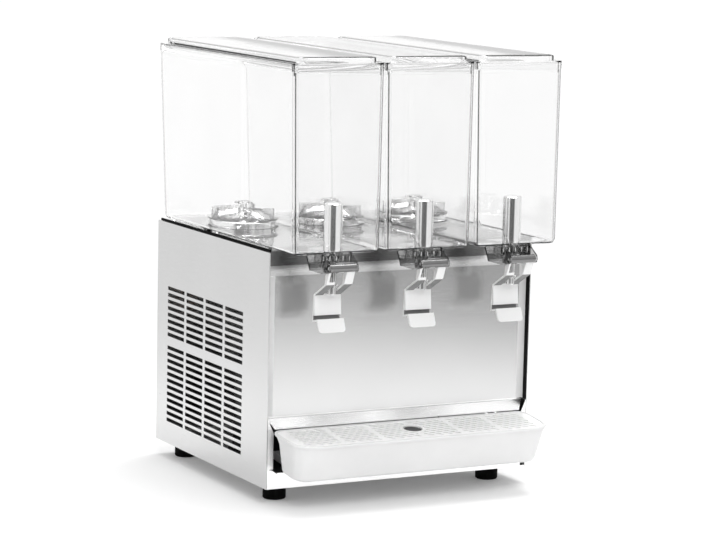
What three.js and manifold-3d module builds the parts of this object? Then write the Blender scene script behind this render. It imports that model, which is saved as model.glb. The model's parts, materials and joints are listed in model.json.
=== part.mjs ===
// Refrigerated juice dispenser with three clear bowls, push-lever taps and a drip tray.
// Millimetres, +Z up, the front faces -Y. The model is laid out round the cabinet's middle.
import * as THREE from 'three';
import { mergeVertices } from 'three/addons/utils/BufferGeometryUtils.js';
import Module from 'manifold-3d';

const wasm = await Module();
wasm.setup();

// Fits and sheet
const clearance = 0.3;
const sheet = 1.5;
const overrun = 2;

// Cabinet
const cabinetWidth = 465;
const cabinetDepth = 424;
const cabinetHeight = 368;
const footHeight = 27;
const footRadius = 18.3;
const footBevel = 1.5;
const footInsetX = 40.5;
const footInsetY = 43;
const footSetback = 10;
const chassisFlange = 12;
const hemWidth = 14;

// Vent slots in the side panels and the back panel
const ventLength = 66;
const ventHeight = 6;
const ventPitch = 11;
const ventColumnGap = 8.3;
const ventColumns = 4;
const ventUpperRows = 8;
const ventLowerRows = 12;
const ventGroupGap = 16;
const ventDrop = 105;
const ventBackInset = 43;
const backVentColumns = 2;
const backVentRows = 8;
const backVentDrop = 190;

// Front panel
const panelRecess = 11;
const panelStripHeight = 23;
const panelBandHeight = 15;
const panelStripSetback = 6;

// Ledge and lower front plate
const ledgeHeight = 111;
const ledgeDrop = 16.2;
const ledgeMitre = 12.5;
const ledgeFlange = 14;
const recessBorder = 10;
const borderDrop = 21.5;
const notchWidth = 8;
const notchHeight = 4.4;
const notchLift = 2;
const shelfLip = 20;
const shelfReach = 50;
const shelfStop = 12;

// Drip tray, laid out in its own tilted frame: v runs back along the slide, w square to the top
const trayTilt = THREE.MathUtils.degToRad(6);
const trayInset = 6.5;
const trayDepth = 94.5;
const trayHeight = 62.5;
const trayLedgeGap = 2;
const trayLedgeDrop = 0.7;
const trayRim = 3;
const trayRimHeight = 4;
const trayCollar = 6;
const trayWall = 3;
const traySeatInset = 1.2;
const traySideDraft = 8.5;
const trayFrontDraft = 14;
const trayShoulderDrop = 15;
const trayShoulderDepth = 14;
const trayBackDraft = 4;
const trayFrontRadius = 34;
const trayFrontTaper = 8;
const trayBackRadius = 16;
const trayBackTaper = 8;
const trayEdgeRadius = 6;
const runnerWidth = 16;
const runnerHeight = 12;
const runnerInset = 30;

// Grille and float
const grilleThickness = 3;
const grilleSeat = 2;
const grilleCells = 6;
const grilleBar = 9;
const grilleMargin = 9;
const grilleSlot = 4;
const grillePitch = 11;
const floatHoleRadius = 15.5;
const floatHoleRim = 5;
const floatHoleSetback = 40.5;
const floatSlack = 1.2;
const floatFlange = 10;
const floatStemRadius = 4;

// Bowls
const bowlPitch = 157.1;
const bowlWidth = 146.6;
const bowlLength = 488.8;
const bowlOverhang = 79.3;
const bowlHeight = 284.7;
const bowlSideLean = 3.6;
const bowlFrontLean = 4.2;
const bowlBackLean = 19;
const bowlWall = 3;
const bowlFloor = 4;
const bowlCorner = 10;
const bowlEdge = 8;
const bowlFillet = 1;
const bowlBandHeight = 9.2;
const bowlBand = 0.6;
const bowlLift = 5;
const bowlRib = 6;
const bowlRibInset = 15;
const bowlRibLength = 360;

// Lids
const lidFlange = 2.4;
const lidRise = 9.6;
const lidInset = 11.2;
const lidFrontInset = 6;
const lidWall = 2.2;
const lidSkirt = 16;
const lidEdge = 4;

// Evaporator domes, gaskets and agitators
const domeBack = 40;
const domeRadius = 54;
const domeSide = 18;
const domeCrown = 6;
const domeWall = 1.5;
const domeHipShare = 0.6;
const domePinRadius = 3;
const domePinHeight = 14;
const gasketWidth = 8;
const gasketLip = 3;
const agitatorRadius = 57;
const agitatorShell = 2.5;
const agitatorHub = 9;
const agitatorHubHeight = 20;
const agitatorCapRadius = 15;
const agitatorCapHeight = 3;
const agitatorBlades = 3;
const agitatorBladeHeight = 13;
const agitatorBladeSweep = 1.1;

// Stirrer drives under the deck
const magnetRadius = 28;
const magnetHeight = 9;
const magnetLift = 2;
const driveShaftRadius = 4;
const driveShaftLength = 34;
const motorRadius = 30;
const motorHeight = 48;
const motorFlangeRadius = 38;
const motorFlange = 3;

// Taps
const outletSetback = 19.1;
const outletBore = 8.3;
const outletWall = 3.2;
const housingWidth = 49;
const housingDrop = 29.5;
const housingRib = 2.2;
const housingBackTop = 64.3;
const housingBackBottom = 46.3;
const housingFrontBottom = 6.3;
const housingWebDrop = 12;
const housingTeeth = 4;
const toothShare = 0.62;
const tubeRadius = 14.5;
const tubeHeight = 72;
const tubeWall = 1.8;
const tubeMouthWidth = 16;
const tubeMouthHeight = 14;
const pistonRadius = 7;
const pistonBore = 4;
const pistonCollarRadius = 10;
const pistonCollar = 3;
const pistonNozzle = 11.3;
const pistonChamfer = 1.5;
const pistonHeadRadius = 11.5;
const pistonHead = 6;
const pistonGuideRadius = 4;
const pistonGuide = 26;
const springWire = 1.8;
const springTurns = 4;

// Push levers, laid out from the hinge pin
const pinReach = 15.7;
const pinDrop = 18.4;
const pinRadius = 2.5;
const barrelRadius = 5.5;
const earRadius = 7.5;
const leverPlate = 3;
const leverWidth = 45;
const forkGap = 16.6;
const leverHeadReach = 9;
const leverHeadDrop = 26.6;
const leverHeadDepth = 13;
const leverPlateReach = 47;
const leverPlateDrop = 47.6;
const paddleHeight = 32.4;
const paddleLean = 2.5;
const grooveDepth = 5;
const grooveHeight = 4.6;
const lipReach = 36;
const lipHeight = 20;
const lipLean = 9;
const lipCorner = 5;
const collarSlack = 0.5;

// Machinery on the chassis
const compressorRadius = 58;
const compressorHeight = 165;
const compressorInset = 127.5;
const compressorY = 45;
const compressorFootRadius = 66;
const compressorFoot = 4;
const compressorDome = 19.3;
const compressorBevel = 6.4;
const portRadius = 6;
const portHeight = 14;
const condenserWidth = 30;
const condenserLength = 230;
const condenserHeight = 190;
const condenserSpine = 5;
const condenserFins = 18;
const finShare = 0.3;
const condenserGap = 12;
const fanRadius = 78;
const fanY = 10;
const fanHeight = 108;
const fanHub = 14;
const fanHubLength = 16;
const fanBlades = 5;
const fanBladeThickness = 2;
const fanBladeWidth = 24;
const fanBladePitch = 0.55;
const fanCondenserGap = 9;
const fanShaftRadius = 3;
const fanShaftLength = 24;
const fanMotorRadius = 26;
const fanMotorLength = 46;
const bracketWidth = 60;
const bracketFoot = 30;
const lineRadius = 4;
const lineDrop = 24;
const riserSetback = 45;

// Controls on the back panel
const controlInset = 82.5;
const controlDrop = 95;
const controlWidth = 90;
const controlHeight = 66;
const controlDepth = 40;
const controlBezel = 5;
const knobRadius = 14;
const knobHeight = 12;
const knobSkirt = 3;
const knobSkirtHeight = 3;
const knobPointer = 2;
const controlSpacing = 22;
const rockerWidth = 13;
const rockerHeight = 22;
const rockerDepth = 8;
const rockerTilt = THREE.MathUtils.degToRad(9);
const rockerBezel = 1.5;
const glandHeight = 34;
const glandRadius = 10;
const glandLength = 13;
const glandBore = 4;
const glandNut = 14;
const glandNutLength = 5;

// How finely round pieces are faceted
const roundSteps = 16;
const smallSteps = 12;
const cornerSteps = 3;
const edgeSteps = 2;

// Places worked out from the sizes above
const halfWidth = cabinetWidth / 2;
const halfDepth = cabinetDepth / 2;
const cabinetTop = footHeight + cabinetHeight;
const innerHalfWidth = halfWidth - sheet - clearance;
const panFloor = footHeight + sheet;
const deckBottom = cabinetTop + clearance;
const deckTop = deckBottom + sheet;
const bowlBottom = cabinetTop + bowlLift;
const bowlFloorTop = bowlBottom + bowlFloor;
const bowlTop = bowlBottom + bowlHeight;
const bowlFront = -halfDepth - bowlOverhang;
const bowlBack = bowlFront + bowlLength;
const panelY = -halfDepth + panelRecess;
const stripY = panelY + panelStripSetback;
const outletY = bowlFront + outletSetback;
const pinY = bowlFront - pinReach;
const pinZ = bowlBottom - pinDrop;
const ledgeZ = footHeight + ledgeHeight;
const ledgeBack = panelY + 2 * sheet + clearance;
const ledgeFront = -halfDepth;
const trayBackY = ledgeFront - trayLedgeGap;
const trayTopZ = ledgeZ - ledgeDrop - sheet - trayLedgeDrop;
const domeTop = deckTop + clearance + domeSide + domeCrown;
const compressorX = compressorInset - halfWidth;
const controlX = halfWidth - controlInset;
const controlZ = cabinetTop - controlDrop;
const glandZ = footHeight + glandHeight;
const knobReach = halfDepth + clearance + sheet + clearance + knobHeight + knobSkirtHeight;
const sides = { left: -1, right: 1 };
const places = { left: -bowlPitch, middle: 0, right: bowlPitch };

// Solids from meshes, and meshes from solids
function solid(geometry) {
  const bare = geometry.clone();
  bare.deleteAttribute('normal');
  bare.deleteAttribute('uv');
  const merged = mergeVertices(bare, 1e-4);
  const vertProperties = new Float32Array(merged.attributes.position.array);
  const triVerts = new Uint32Array(merged.index.array);
  return new wasm.Manifold(new wasm.Mesh({ numProp: 3, vertProperties, triVerts }));
}

function surface(body) {
  const mesh = body.getMesh();
  const geometry = new THREE.BufferGeometry();
  geometry.setAttribute('position', new THREE.BufferAttribute(new Float32Array(mesh.vertProperties), 3));
  geometry.setIndex(new THREE.BufferAttribute(new Uint32Array(mesh.triVerts), 1));
  geometry.computeVertexNormals();
  return geometry;
}

function join(...geometries) {
  return surface(geometries.map(solid).reduce((sum, next) => sum.add(next)));
}

function cut(geometry, ...tools) {
  return surface(tools.map(solid).reduce((rest, tool) => rest.subtract(tool), solid(geometry)));
}

// A block between two corners
function block(x0, x1, y0, y1, z0, z1) {
  const geometry = new THREE.BoxGeometry(x1 - x0, y1 - y0, z1 - z0);
  return geometry.translate((x0 + x1) / 2, (y0 + y1) / 2, (z0 + z1) / 2);
}

function extrude(points, depth) {
  const shape = new THREE.Shape(points.map(([a, b]) => new THREE.Vector2(a, b)));
  return new THREE.ExtrudeGeometry(shape, { depth, bevelEnabled: false });
}

// Prisms along each axis: an outline in y and z, in x and z, or in x and y
function prismX(points, x0, x1) {
  const turn = new THREE.Matrix4().makeBasis(
    new THREE.Vector3(0, 1, 0), new THREE.Vector3(0, 0, 1), new THREE.Vector3(1, 0, 0));
  return extrude(points, x1 - x0).applyMatrix4(turn).translate(x0, 0, 0);
}

function prismY(points, y0, y1) {
  const turn = new THREE.Matrix4().makeBasis(
    new THREE.Vector3(1, 0, 0), new THREE.Vector3(0, 0, 1), new THREE.Vector3(0, -1, 0));
  return extrude(points, y1 - y0).applyMatrix4(turn).translate(0, y1, 0);
}

function prismZ(points, z0, z1) {
  return extrude(points, z1 - z0).translate(0, 0, z0);
}

// A round bar along an axis from one place to another
function barZ(radius, x, y, z0, z1, steps = roundSteps) {
  const bar = new THREE.CylinderGeometry(radius, radius, z1 - z0, steps).rotateX(Math.PI / 2);
  return bar.translate(x, y, (z0 + z1) / 2);
}

function barX(radius, x0, x1, y, z, steps = roundSteps) {
  const bar = new THREE.CylinderGeometry(radius, radius, x1 - x0, steps).rotateZ(Math.PI / 2);
  return bar.translate((x0 + x1) / 2, y, z);
}

function barY(radius, x, y0, y1, z, steps = roundSteps) {
  return new THREE.CylinderGeometry(radius, radius, y1 - y0, steps).translate(x, (y0 + y1) / 2, z);
}

// A turned piece from a profile of radius and height
function turned(profile, steps = roundSteps) {
  const points = profile.map(([radius, height]) => new THREE.Vector2(radius, height));
  return new THREE.LatheGeometry(points, steps).rotateX(Math.PI / 2);
}

function rectangle(x0, x1, y0, y1) {
  return [[x0, y0], [x1, y0], [x1, y1], [x0, y1]];
}

// A rectangle with its own radius at the front and at the back corners
function roundedRing(x0, x1, y0, y1, z, frontRadius, backRadius) {
  const corners = [
    [x0 + frontRadius, y0 + frontRadius, frontRadius, Math.PI],
    [x1 - frontRadius, y0 + frontRadius, frontRadius, 1.5 * Math.PI],
    [x1 - backRadius, y1 - backRadius, backRadius, 0],
    [x0 + backRadius, y1 - backRadius, backRadius, Math.PI / 2],
  ];
  return corners.flatMap(([x, y, radius, start]) => Array.from({ length: cornerSteps + 1 }, (_, i) => {
    const angle = start + (i / cornerSteps) * (Math.PI / 2);
    return new THREE.Vector3(x + radius * Math.cos(angle), y + radius * Math.sin(angle), z);
  }));
}

// A closed body through rings of like points, the first ring at the bottom or the back
function loft(rings) {
  const count = rings[0].length;
  const index = [];
  rings.slice(1).forEach((ring, level) => ring.forEach((point, i) => {
    const a = level * count + i;
    const b = level * count + ((i + 1) % count);
    index.push(a, b, b + count, a, b + count, a + count);
  }));
  const caps = THREE.ShapeUtils.triangulateShape(rings[0].map((p) => new THREE.Vector2(p.x, p.y)), []);
  const last = (rings.length - 1) * count;
  caps.forEach(([a, b, c]) => index.push(a, c, b, last + a, last + b, last + c));
  const geometry = new THREE.BufferGeometry();
  const flat = rings.flat().flatMap((p) => [p.x, p.y, p.z]);
  geometry.setAttribute('position', new THREE.Float32BufferAttribute(flat, 3));
  geometry.setIndex(index);
  return geometry;
}

// Heights and insets of a rounded bottom edge, from its lowest ring upwards
function edgeRings(radius) {
  return Array.from({ length: edgeSteps + 1 }, (_, i) => {
    const angle = (i / edgeSteps) * (Math.PI / 2);
    return [radius * (1 - Math.cos(angle)), radius * (1 - Math.sin(angle))];
  });
}

const model = new THREE.Group();

function place(name, geometry, material, parent = model) {
  const mesh = new THREE.Mesh(geometry, material.clone());
  mesh.name = name;
  parent.add(mesh);
  return mesh;
}

// Materials
function finish(color, roughness, metalness, opacity = 1) {
  const clear = opacity < 1;
  return new THREE.MeshStandardMaterial({ color, roughness, metalness, opacity, transparent: clear });
}

const brushedSteel = finish(0xd6d6d6, 0.38, 0.9);
const polishedSteel = finish(0xe4e4e4, 0.12, 1);
const zincSheet = finish(0xb4b8bb, 0.5, 0.8);
const clearPlastic = finish(0xf2f5f6, 0.06, 0, 0.3);
const whitePlastic = finish(0xeeeeec, 0.4, 0);
const blackPlastic = finish(0x17181a, 0.45, 0);
const blackRubber = finish(0x101010, 0.85, 0);
const blackEnamel = finish(0x1d1e20, 0.4, 0.3);
const copper = finish(0xb87349, 0.3, 1);
const magnetGrey = finish(0x4c4d50, 0.5, 0.4);

// Slots in a grid, hung from the top left corner
function slotGrid(left, top, columns, rows) {
  return Array.from({ length: columns * rows }, (_, i) => {
    const start = left + (i % columns) * (ventLength + ventColumnGap);
    const level = top - Math.floor(i / columns) * ventPitch;
    return rectangle(start, start + ventLength, level - ventHeight, level);
  });
}

// Cabinet
function sidePanel(side) {
  const gridLength = ventColumns * ventLength + (ventColumns - 1) * ventColumnGap;
  const gridFront = halfDepth - ventBackInset - gridLength;
  const upperTop = cabinetTop - ventDrop;
  const lowerTop = upperTop - (ventUpperRows - 1) * ventPitch - ventHeight - ventGroupGap;
  const slots = [
    ...slotGrid(gridFront, upperTop, ventColumns, ventUpperRows),
    ...slotGrid(gridFront, lowerTop, ventColumns, ventLowerRows),
  ];
  const outer = side * halfWidth;
  const inner = side * (halfWidth - sheet);
  const low = Math.min(outer, inner);
  const high = Math.max(outer, inner);
  const wall = block(low, high, -halfDepth, halfDepth, footHeight, cabinetTop);
  const hemEnd = side * (halfWidth - hemWidth);
  const hem = block(Math.min(outer, hemEnd), Math.max(outer, hemEnd),
    stripY + sheet + clearance, halfDepth - sheet - clearance, cabinetTop - sheet, cabinetTop);
  const openings = slots.map((slot) => prismX(slot, low - overrun, high + overrun));
  return cut(join(wall, hem), ...openings);
}

function backPanel() {
  const gridWidth = backVentColumns * ventLength + (backVentColumns - 1) * ventColumnGap;
  const slots = slotGrid(-gridWidth / 2, cabinetTop - backVentDrop, backVentColumns, backVentRows);
  const opening = rectangle(controlX - controlWidth / 2 - clearance, controlX + controlWidth / 2 + clearance,
    controlZ - controlHeight / 2 - clearance, controlZ + controlHeight / 2 + clearance);
  const inner = halfDepth - sheet;
  const panel = block(-innerHalfWidth, innerHalfWidth, inner, halfDepth, footHeight, cabinetTop - clearance);
  const openings = [...slots, opening].map((hole) => prismY(hole, inner - overrun, halfDepth + overrun));
  const glandHole = barY(glandRadius + clearance, controlX, inner - overrun, halfDepth + overrun, glandZ,
    smallSteps);
  return cut(panel, glandHole, ...openings);
}

function chassis() {
  const back = halfDepth - sheet - clearance;
  const front = -halfDepth + sheet + clearance;
  const wall = panFloor + chassisFlange;
  const pan = block(-innerHalfWidth, innerHalfWidth, front, back, footHeight, panFloor);
  const flanges = Object.values(sides).map((side) => {
    const outer = side * innerHalfWidth;
    const inner = side * (innerHalfWidth - sheet);
    return block(Math.min(outer, inner), Math.max(outer, inner), front, back, footHeight, wall);
  });
  const rear = block(-innerHalfWidth, innerHalfWidth, back - sheet, back, footHeight, wall);
  return join(pan, ...flanges, rear);
}

function foot() {
  const top = footHeight - clearance;
  return turned([[0, 0], [footRadius - footBevel, 0], [footRadius, footBevel], [footRadius, top], [0, top]]);
}

function frontPanel() {
  const top = cabinetTop;
  const stripBottom = top - panelStripHeight;
  const bandBottom = stripBottom - panelBandHeight;
  const bottom = ledgeZ + clearance;
  const face = [[panelY, bottom], [panelY, bandBottom], [stripY, stripBottom], [stripY, top]];
  const back = face.map(([y, z]) => [y + sheet, z]).reverse();
  return prismX([...back, ...face], -innerHalfWidth, innerHalfWidth);
}

function topDeck() {
  const edge = halfWidth - panelStripSetback;
  const plate = rectangle(-edge, edge, stripY, halfDepth - sheet);
  const deck = prismZ(plate, deckBottom, deckTop);
  const low = deckBottom - overrun;
  const high = deckTop + overrun;
  const holes = Object.values(places).flatMap((x) => [
    barZ(driveShaftRadius + overrun, x, domeBack, low, high, smallSteps),
    barZ(lineRadius + overrun, x, domeBack + riserSetback, low, high, smallSteps),
  ]);
  return cut(deck, ...holes);
}

// Tray frame: the point where the tray's top meets its back edge, tilted towards the front
function trayFrame() {
  const frame = new THREE.Group();
  frame.position.set(0, trayBackY, trayTopZ);
  frame.rotation.x = trayTilt;
  model.add(frame);
  return frame;
}

function dripLedge() {
  const wedge = (y, half, z) => [[-half, z - sheet], [half, z - sheet], [half, z], [-half, z]]
    .map(([x, height]) => new THREE.Vector3(x, height, -y));
  const rings = [wedge(ledgeBack, innerHalfWidth, ledgeZ),
    wedge(ledgeFront, innerHalfWidth - ledgeMitre, ledgeZ - ledgeDrop)];
  const plate = loft(rings).rotateX(Math.PI / 2);
  const flange = block(-innerHalfWidth, innerHalfWidth, ledgeBack - sheet, ledgeBack,
    ledgeZ - sheet, ledgeZ + ledgeFlange);
  const plateBack = -halfDepth + sheet;
  const recess = innerHalfWidth - recessBorder;
  const shelfZ = trayTopZ + (-halfDepth - trayBackY) * Math.tan(trayTilt)
    - (trayHeight + clearance + sheet / 2) / Math.cos(trayTilt);
  const borderTop = ledgeZ - sheet;
  const recessTop = borderTop - borderDrop;
  const plateOutline = [[-innerHalfWidth, footHeight], [innerHalfWidth, footHeight],
    [innerHalfWidth, borderTop], [recess, recessTop], [recess, shelfZ],
    [-recess, shelfZ], [-recess, recessTop], [-innerHalfWidth, borderTop]];
  const lower = prismY(plateOutline, -halfDepth, plateBack);
  const foldBottom = panFloor + chassisFlange + clearance;
  const foldOutline = [[-halfDepth, foldBottom], [ledgeBack, foldBottom], [ledgeBack, ledgeZ],
    [ledgeBack - sheet, ledgeZ], [-halfDepth, borderTop]];
  const folds = Object.values(sides).map((side) => {
    const outer = side * innerHalfWidth;
    const inner = side * (innerHalfWidth - sheet);
    return prismX(foldOutline, Math.min(outer, inner), Math.max(outer, inner));
  });
  const notch = block(innerHalfWidth - notchWidth, innerHalfWidth + overrun, -halfDepth - overrun,
    plateBack + overrun, footHeight + notchLift, footHeight + notchLift + notchHeight);
  const shelfTop = -trayHeight - clearance;
  const shelfFront = (-halfDepth - shelfLip - trayBackY) / Math.cos(trayTilt);
  const shelf = block(-recess, recess, shelfFront, shelfReach + sheet, shelfTop - sheet, shelfTop);
  const stop = block(-recess, recess, shelfReach, shelfReach + sheet, shelfTop - sheet, shelfTop + shelfStop);
  const tilted = [shelf, stop].map((g) => g.rotateX(trayTilt).translate(0, trayBackY, trayTopZ));
  return cut(join(plate, flange, lower, ...folds, ...tilted), notch);
}

// Drip tray
const trayHalf = halfWidth - trayInset;

// Outside of the basin at a depth below the top, drawn in or out by a margin
function basinAt(depth, grow = 0) {
  const share = Math.max(0, depth - trayCollar) / (trayHeight - trayCollar);
  const belowCollar = Math.max(0, depth - trayCollar);
  const shoulderShare = Math.min(1, belowCollar / (trayShoulderDrop - trayCollar));
  const belowShare = Math.max(0, depth - trayShoulderDrop) / (trayHeight - trayShoulderDrop);
  return {
    side: trayHalf - trayRim - share * traySideDraft + grow,
    front: -trayDepth + trayRim + share * trayFrontDraft - grow,
    back: -trayRim / 2 - shoulderShare * trayShoulderDepth - belowShare * trayBackDraft + grow,
    frontRadius: trayFrontRadius - trayRim - share * trayFrontTaper + grow,
    backRadius: trayBackRadius - shoulderShare * trayBackTaper + grow,
  };
}

function basinRing(depth, grow = 0, w = -depth) {
  const { side, front, back, frontRadius, backRadius } = basinAt(depth, grow);
  return roundedRing(-side, side, front, back, w, frontRadius, backRadius);
}

function dripTray() {
  const bottom = edgeRings(trayEdgeRadius).map(([rise, inset]) => basinRing(trayHeight - rise, -inset));
  const rim = [trayRimHeight, 0].map((depth) =>
    roundedRing(-trayHalf, trayHalf, -trayDepth, 0, -depth, trayFrontRadius, trayBackRadius));
  const levels = [trayShoulderDrop, trayCollar, trayRimHeight];
  const outside = loft([...bottom, ...levels.map((depth) => basinRing(depth)), ...rim]);
  const hollow = loft([trayHeight - trayWall, ...levels].map((depth) => basinRing(depth, -trayWall)));
  const seat = grilleThickness + clearance + grilleSeat / 2;
  const pocket = loft([-seat, overrun].map((w) => basinRing(0, -traySeatInset, w)));
  const basin = cut(outside, hollow, pocket);
  const floorBack = basinAt(trayHeight).back;
  const runners = Object.values(sides).map((turn) => {
    const middle = turn * (trayHalf - traySideDraft - runnerInset);
    return block(middle - runnerWidth / 2, middle + runnerWidth / 2, floorBack - trayWall / 2,
      shelfReach - clearance, -trayHeight, -trayHeight + runnerHeight);
  });
  return join(basin, ...runners);
}

// The part of a convex outline on one side of the diagonal x + y = level
function clipDiagonal(points, level, keep) {
  const depth = ([x, y]) => keep * (x + y - level);
  return points.flatMap((point, i) => {
    const next = points[(i + 1) % points.length];
    const here = depth(point);
    const there = depth(next);
    const kept = here >= 0 ? [point] : [];
    if (here * there < 0) {
      const share = here / (here - there);
      kept.push([point[0] + share * (next[0] - point[0]), point[1] + share * (next[1] - point[1])]);
    }
    return kept;
  });
}

// Diagonal slots that fill one cell of the grille
function cellSlots(x0, x1, y0, y1) {
  const diagonal = Math.SQRT2;
  const reach = x1 - x0 + y1 - y0;
  const count = Math.floor(reach / (grillePitch * diagonal));
  const first = (x0 + x1 + y0 + y1) / 2 - ((count - 1) / 2) * grillePitch * diagonal;
  return Array.from({ length: count }, (_, i) => {
    const level = first + i * grillePitch * diagonal;
    const half = (grilleSlot / 2) * diagonal;
    return clipDiagonal(clipDiagonal(rectangle(x0, x1, y0, y1), level - half, 1), level + half, -1);
  });
}

function grille() {
  const { side, front, back } = basinAt(0, -traySeatInset - clearance);
  const top = -grilleSeat / 2;
  const field = side - trayFrontRadius / 2;
  const cell = (2 * field - (grilleCells - 1) * grilleBar) / grilleCells;
  const slots = Array.from({ length: grilleCells }, (_, i) => {
    const start = -field + i * (cell + grilleBar);
    return cellSlots(start, start + cell, front + grilleMargin, back - grilleMargin / 2);
  }).flat();
  const edge = basinRing(0, -traySeatInset - clearance).map((p) => [p.x, p.y]);
  const plate = prismZ(edge, top - grilleThickness, top);
  const openings = slots.map((slot) => prismZ(slot, top - grilleThickness - overrun, top + overrun));
  const ring = barZ(floatHoleRadius + floatHoleRim, 0, -floatHoleSetback, top - grilleThickness, top);
  const hole = barZ(floatHoleRadius, 0, -floatHoleSetback, top - grilleThickness - overrun, top + overrun);
  return cut(join(cut(plate, ...openings), ring), hole);
}

// Float: a marker under the grille's hole, a stem and a foot
function levelFloat() {
  const bottom = -trayHeight + trayWall + clearance;
  const top = -grilleSeat / 2 - grilleThickness / 2;
  const radius = floatHoleRadius - floatSlack;
  const marker = barZ(radius, 0, -floatHoleSetback, top - grilleThickness, top);
  const stem = barZ(floatStemRadius, 0, -floatHoleSetback, bottom + floatFlange / 2,
    top - grilleThickness / 2, smallSteps);
  const base = barZ(radius, 0, -floatHoleSetback, bottom, bottom + floatFlange);
  return join(marker, stem, base);
}

// Outside of a bowl at a height above its floor: half width, front and back
function bowlAt(height, grow = 0) {
  const share = height / bowlHeight;
  const side = bowlWidth / 2 + share * bowlSideLean + grow;
  return [side, bowlFront + share * bowlFrontLean - grow, bowlBack + share * bowlBackLean + grow];
}

function bowlRing(height, grow = 0, z = bowlBottom + height) {
  const [side, front, back] = bowlAt(height, grow);
  return roundedRing(-side, side, front, back, z, bowlCorner + grow, bowlCorner + grow);
}

function bowl() {
  const bottom = edgeRings(bowlEdge).map(([rise, inset]) => bowlRing(rise, -inset));
  const bandBottom = bowlHeight - bowlBandHeight;
  const outside = loft([...bottom, bowlRing(bandBottom), bowlRing(bandBottom, bowlBand),
    bowlRing(bowlHeight, bowlBand)]);
  const hollow = loft([bowlRing(bowlFloor, -bowlWall - bowlFillet), bowlRing(bowlEdge, -bowlWall),
    bowlRing(bowlHeight, -bowlWall), bowlRing(bowlHeight, -bowlWall, bowlTop + overrun)]);
  const ribs = Object.values(sides).map((side) => {
    const middle = side * (bowlWidth / 2 - bowlRibInset);
    return block(middle - bowlRib / 2, middle + bowlRib / 2, bowlBack - bowlRibInset - bowlRibLength,
      bowlBack - bowlRibInset, deckTop + clearance, bowlBottom + bowlFloor / 2);
  });
  const shell = join(cut(outside, hollow), ...ribs, ...tapHousing());
  const domeHole = barZ(domeRadius + gasketLip + 2 * clearance, 0, domeBack,
    deckTop - overrun, bowlFloorTop + overrun);
  const gasketRoom = barZ(domeRadius + gasketWidth + 3 * clearance, 0, domeBack, deckTop, bowlBottom);
  const outlet = barZ(outletBore, 0, outletY, bowlBottom - housingDrop - overrun, bowlFloorTop + overrun);
  const pinBore = barX(pinRadius + clearance, -housingWidth, housingWidth, pinY, pinZ, smallSteps);
  return cut(shell, domeHole, gasketRoom, outlet, pinBore);
}

// The ribbed box under the bowl's front, with the ears that hold the lever's pin
function tapHousing() {
  const top = bowlBottom + bowlFloor / 2;
  const bottom = bowlBottom - housingDrop;
  const half = housingWidth / 2;
  const cheek = [
    [bowlFront + housingBackTop, top], [bowlFront + housingBackBottom, bottom],
    [bowlFront + housingFrontBottom, bottom], [pinY, pinZ - earRadius],
    [pinY - earRadius * Math.SQRT1_2, pinZ - earRadius * Math.SQRT1_2], [pinY - earRadius, pinZ],
    [pinY - earRadius * Math.SQRT1_2, pinZ + earRadius * Math.SQRT1_2],
    [bowlFront, bowlBottom], [bowlFront + bowlEdge, top],
  ].reverse();
  const ears = Object.values(sides).map((side) => {
    const outer = side * half;
    const inner = side * (half - housingRib);
    return prismX(cheek, Math.min(outer, inner), Math.max(outer, inner));
  });
  const backWeb = prismX([[bowlFront + housingBackTop, top], [bowlFront + housingBackBottom, bottom],
    [bowlFront + housingBackBottom - housingRib, bottom], [bowlFront + housingBackTop - housingRib, top]],
  -half, half);
  const spout = barZ(outletBore + outletWall, 0, outletY, bottom, top);
  const ribZ = (bottom + top) / 2;
  const crossRibs = [outletY - outletBore - outletWall, outletY + outletBore + outletWall].map((y) =>
    block(-half, half, y - housingRib / 2, y + housingRib / 2, ribZ, top));
  const webBottom = bowlBottom - housingWebDrop;
  const pitch = (housingWidth - 2 * housingRib) / housingTeeth;
  const gaps = Array.from({ length: housingTeeth }, (_, i) => {
    const middle = -half + housingRib + (i + 1 / 2) * pitch;
    const reach = (toothShare * pitch) / 2;
    return rectangle(middle - reach, middle + reach, webBottom + housingRib, bowlBottom - housingRib);
  });
  const webFront = bowlFront - housingRib / 2;
  const web = block(-half, half, webFront, bowlFront + housingRib, webBottom, bowlBottom);
  const windows = gaps.map((gap) => prismY(gap, bowlFront - housingRib, bowlFront + 2 * housingRib));
  const frontWeb = cut(web, ...windows);
  const frontRoof = block(-half, half, bowlFront - housingRib / 2, bowlFront + bowlEdge,
    bowlBottom - housingRib, bowlBottom + housingRib);
  return [...ears, backWeb, spout, ...crossRibs, frontWeb, frontRoof];
}

// Lid: a flange on the rim, a raised top and a skirt inside the bowl
function lidRing(z, sideInset, frontInset) {
  const [side, front, back] = bowlAt(bowlHeight, bowlBand);
  return roundedRing(-side + sideInset, side - sideInset, front + frontInset, back - frontInset, z,
    bowlCorner, bowlCorner);
}

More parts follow.
